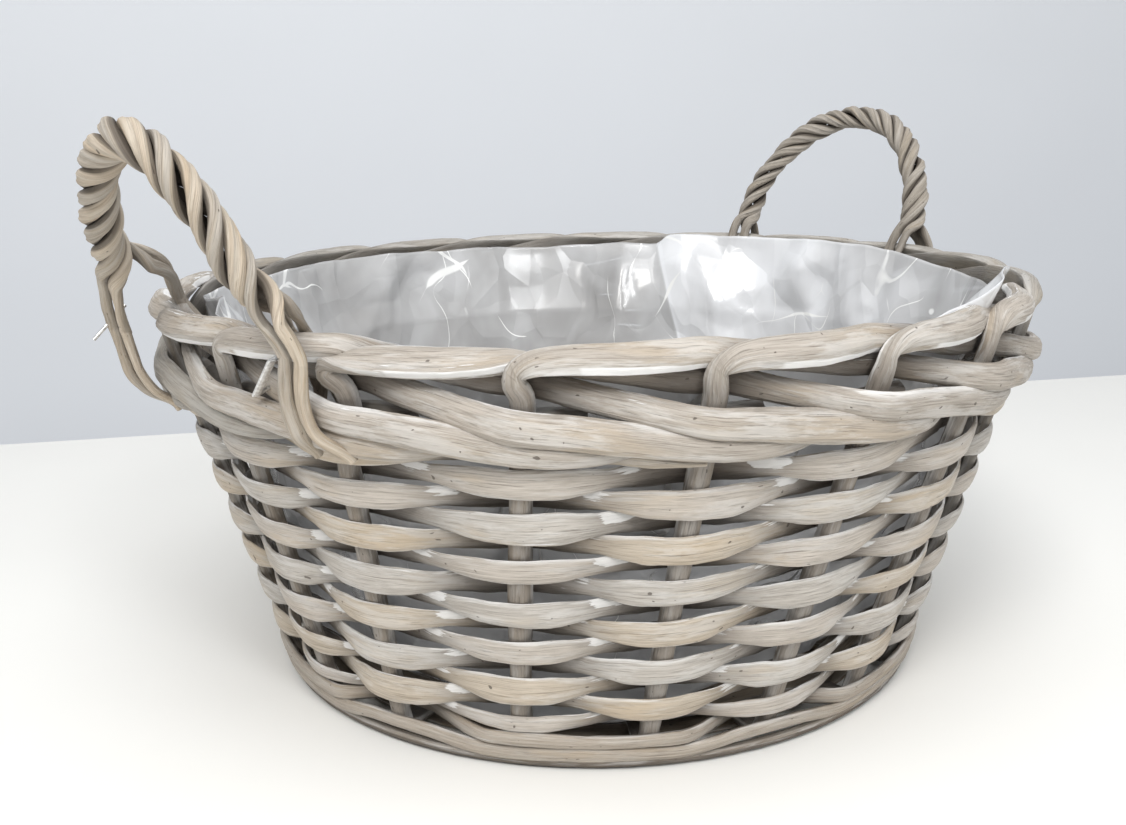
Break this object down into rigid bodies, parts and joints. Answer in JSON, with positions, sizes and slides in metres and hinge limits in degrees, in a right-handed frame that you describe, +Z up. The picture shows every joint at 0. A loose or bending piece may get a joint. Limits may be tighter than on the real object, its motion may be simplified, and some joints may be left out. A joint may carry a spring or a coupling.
{
  "type": "planter basket",
  "caption": "Round tapered basket of grey-washed split willow with a laid-down rod border, two twisted rope ears and a plastic film liner.",
  "frame": {"origin": "centre of the basket's footprint, on the plane that the foot stands on", "axes": "+Z up along the basket's axis, +X through the right ear and -X through the left one"},
  "size_m": [0.3574, 0.3178, 0.1976],
  "materials": {
    "stake_willow": "grey-washed split willow with white dry-brushed patches, dull",
    "strip_willow": "grey-washed split willow strip with white dry-brushed edges, dull",
    "foot_willow": "thin brown-grey willow rods, dull",
    "base_willow": "plain brown-grey willow, dull",
    "ear_willow": "tan split willow strands with dark pith grooves, dull",
    "liner_film": "clear to milky polyethylene film, creased, shining on the creases",
    "fixing_wire": "bright thin steel wire"
  },
  "bodies": {
    "root": {"stake_01": "stake_willow", "stake_02": "stake_willow", "stake_03": "stake_willow", "stake_04": "stake_willow", "stake_05": "stake_willow", "stake_06": "stake_willow", "stake_07": "stake_willow", "stake_08": "stake_willow", "stake_09": "stake_willow", "stake_10": "stake_willow", "stake_11": "stake_willow", "stake_12": "stake_willow", "stake_13": "stake_willow", "stake_14": "stake_willow", "stake_15": "stake_willow", "stake_16": "stake_willow", "stake_17": "stake_willow", "stake_18": "stake_willow", "stake_19": "stake_willow", "weaver_01": "strip_willow", "weaver_02": "strip_willow", "weaver_03": "strip_willow", "weaver_04": "strip_willow", "weaver_05": "strip_willow", "weaver_06": "strip_willow", "weaver_07": "strip_willow", "weaver_08": "strip_willow", "weaver_09": "strip_willow", "weaver_10": "strip_willow", "weaver_11": "strip_willow", "foot_round_1": "foot_willow", "foot_round_2": "foot_willow", "foot_round_3": "foot_willow", "base_stick_1": "base_willow", "base_stick_2": "base_willow", "base_stick_3": "base_willow", "base_stick_4": "base_willow", "base_stick_5": "base_willow", "base_round_1": "base_willow", "base_round_2": "base_willow", "base_round_3": "base_willow", "base_round_4": "base_willow", "base_round_5": "base_willow", "base_round_6": "base_willow", "base_binding_under": "base_willow", "base_binding_over": "base_willow", "ear_left_strand_1": "ear_willow", "ear_left_strand_2": "ear_willow", "ear_left_strand_3": "ear_willow", "ear_left_strand_4": "ear_willow", "ear_right_strand_1": "ear_willow", "ear_right_strand_2": "ear_willow", "ear_right_strand_3": "ear_willow", "ear_right_strand_4": "ear_willow", "film_liner": "liner_film", "staple_left": "fixing_wire", "staple_right": "fixing_wire", "tack_left": "fixing_wire", "tack_right": "fixing_wire"}
  },
  "joints": []
}
